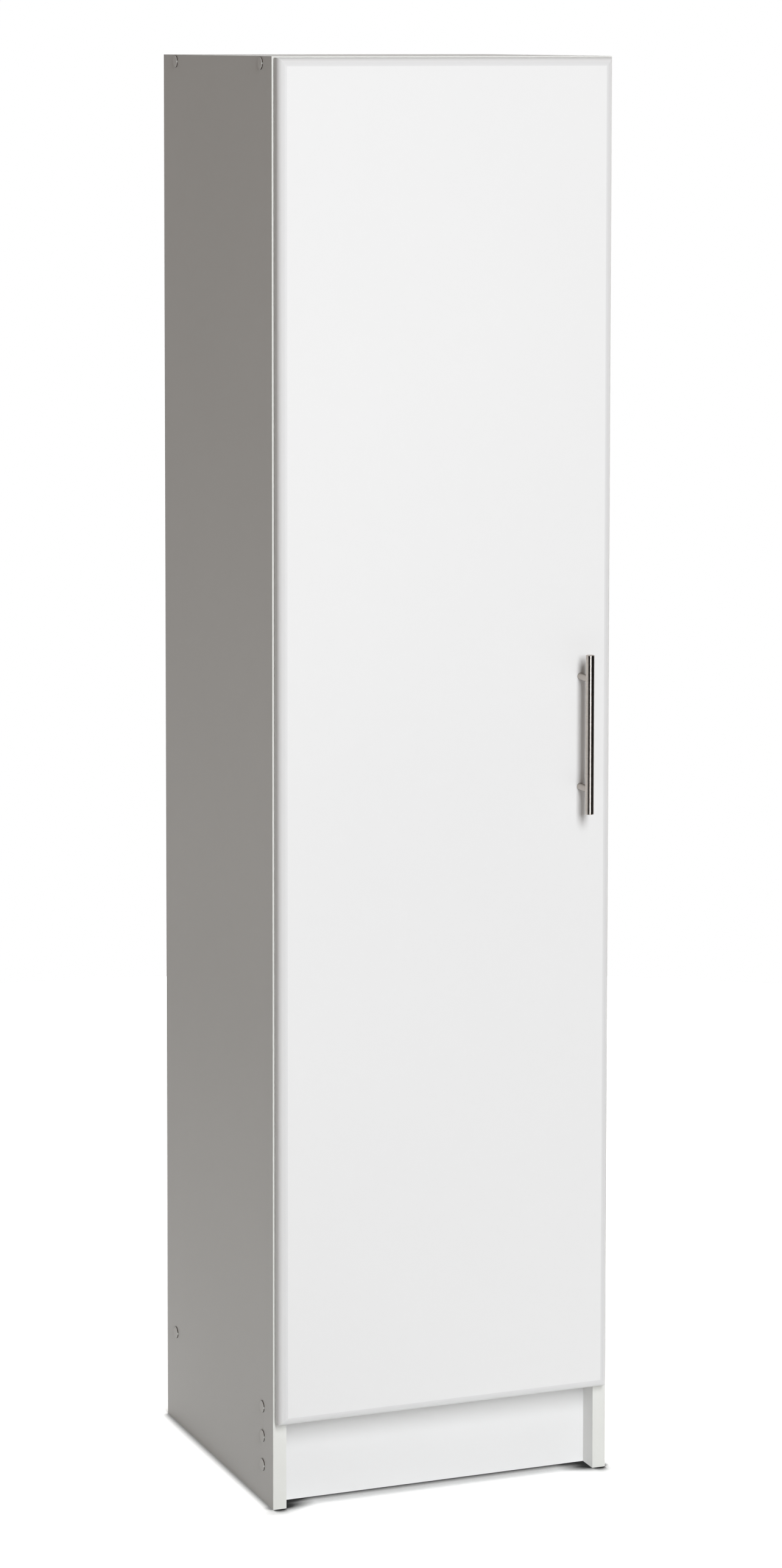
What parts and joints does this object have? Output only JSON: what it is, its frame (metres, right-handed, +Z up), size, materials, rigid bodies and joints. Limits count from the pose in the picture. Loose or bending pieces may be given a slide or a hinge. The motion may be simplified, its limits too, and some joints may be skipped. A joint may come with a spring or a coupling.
{
  "type": "broom cupboard",
  "caption": "Tall narrow white laminate cupboard: overlay door on concealed hinges, vertical bar handle, recessed kick plate, upper shelf over a tall bay for brooms.",
  "frame": {"origin": "on the floor, at the middle of the footprint with the handle included", "axes": "+X to the right seen from the front, -Y to the front, +Z up"},
  "size_m": [0.4166, 0.423, 1.651],
  "materials": {
    "white_laminate": "smooth satin melamine on particleboard",
    "door_laminate": "smooth satin foil over rounded edges",
    "edge_band": "satin",
    "hardboard": "raw fibre outside, white-faced inside",
    "cap_plastic": "satin",
    "brushed_nickel": "brushed along the bar",
    "nickel_plated_steel": "bright plated",
    "zinc_plated_steel": "plated",
    "beech": "raw",
    "soft_bumper": "translucent"
  },
  "bodies": {
    "carcass": {"side_panel_left": "white_laminate", "side_panel_right": "white_laminate", "top_panel": "white_laminate", "bottom_panel": "white_laminate", "kick_plate": "white_laminate", "upper_shelf": "white_laminate", "hanging_rail": "white_laminate", "back_panel": "hardboard", "side_panel_left_edge_band": "edge_band", "side_panel_right_edge_band": "edge_band", "top_panel_edge_band": "edge_band", "bottom_panel_edge_band": "edge_band", "upper_shelf_edge_band": "edge_band", "back_panel_nails": "zinc_plated_steel", "carcass_screws": "zinc_plated_steel", "rail_cams": "zinc_plated_steel", "rail_cam_bolts": "zinc_plated_steel", "screw_cover_caps": "cap_plastic", "rail_dowels": "beech", "shelf_pins": "nickel_plated_steel", "hinge_mounting_plates": "nickel_plated_steel", "hinge_plate_screws": "nickel_plated_steel", "hinge_arms": "nickel_plated_steel", "hinge_arm_pins": "nickel_plated_steel", "hinge_arm_screws": "nickel_plated_steel"},
    "door": {"door_panel": "door_laminate", "handle_bar": "brushed_nickel", "handle_posts": "brushed_nickel", "handle_screws": "zinc_plated_steel", "hinge_cups": "nickel_plated_steel", "hinge_cup_screws": "nickel_plated_steel", "hinge_cup_pins": "nickel_plated_steel", "door_bumpers": "soft_bumper"},
    "long_link_bottom": {"hinge_long_link_bottom": "nickel_plated_steel"},
    "short_link_bottom": {"hinge_short_link_bottom": "nickel_plated_steel"},
    "long_link_middle": {"hinge_long_link_middle": "nickel_plated_steel"},
    "short_link_middle": {"hinge_short_link_middle": "nickel_plated_steel"},
    "long_link_top": {"hinge_long_link_top": "nickel_plated_steel"},
    "short_link_top": {"hinge_short_link_top": "nickel_plated_steel"}
  },
  "joints": [
    {"name": "door_swing", "type": "hinge", "parent": "long_link_middle", "child": "door", "pos_m": [-0.1968, -0.1655, 0.87525], "axis": [0, 0, -1], "range_deg": [0, 118.75]},
    {"name": "long_link_bottom_swing", "type": "hinge", "parent": "carcass", "child": "long_link_bottom", "pos_m": [-0.1711, -0.1535, 0.201], "axis": [0, 0, 1], "range_deg": [0, 23.76]},
    {"name": "short_link_bottom_swing", "type": "hinge", "parent": "carcass", "child": "short_link_bottom", "pos_m": [-0.1836, -0.1694, 0.201], "axis": [0, 0, 1], "range_deg": [0, 35.16]},
    {"name": "long_link_middle_swing", "type": "hinge", "parent": "carcass", "child": "long_link_middle", "pos_m": [-0.1711, -0.1535, 0.87525], "axis": [0, 0, 1], "range_deg": [0, 23.76]},
    {"name": "short_link_middle_swing", "type": "hinge", "parent": "carcass", "child": "short_link_middle", "pos_m": [-0.1836, -0.1694, 0.87525], "axis": [0, 0, 1], "range_deg": [0, 35.16]},
    {"name": "long_link_top_swing", "type": "hinge", "parent": "carcass", "child": "long_link_top", "pos_m": [-0.1711, -0.1535, 1.5495], "axis": [0, 0, 1], "range_deg": [0, 23.76]},
    {"name": "short_link_top_swing", "type": "hinge", "parent": "carcass", "child": "short_link_top", "pos_m": [-0.1836, -0.1694, 1.5495], "axis": [0, 0, 1], "range_deg": [0, 35.16]}
  ],
  "couplings": [
    {"joint": "long_link_bottom_swing", "follows": "door_swing", "ratio": 0.2},
    {"joint": "short_link_bottom_swing", "follows": "door_swing", "ratio": 0.296},
    {"joint": "long_link_middle_swing", "follows": "door_swing", "ratio": 0.2},
    {"joint": "short_link_middle_swing", "follows": "door_swing", "ratio": 0.296},
    {"joint": "long_link_top_swing", "follows": "door_swing", "ratio": 0.2},
    {"joint": "short_link_top_swing", "follows": "door_swing", "ratio": 0.296}
  ]
}
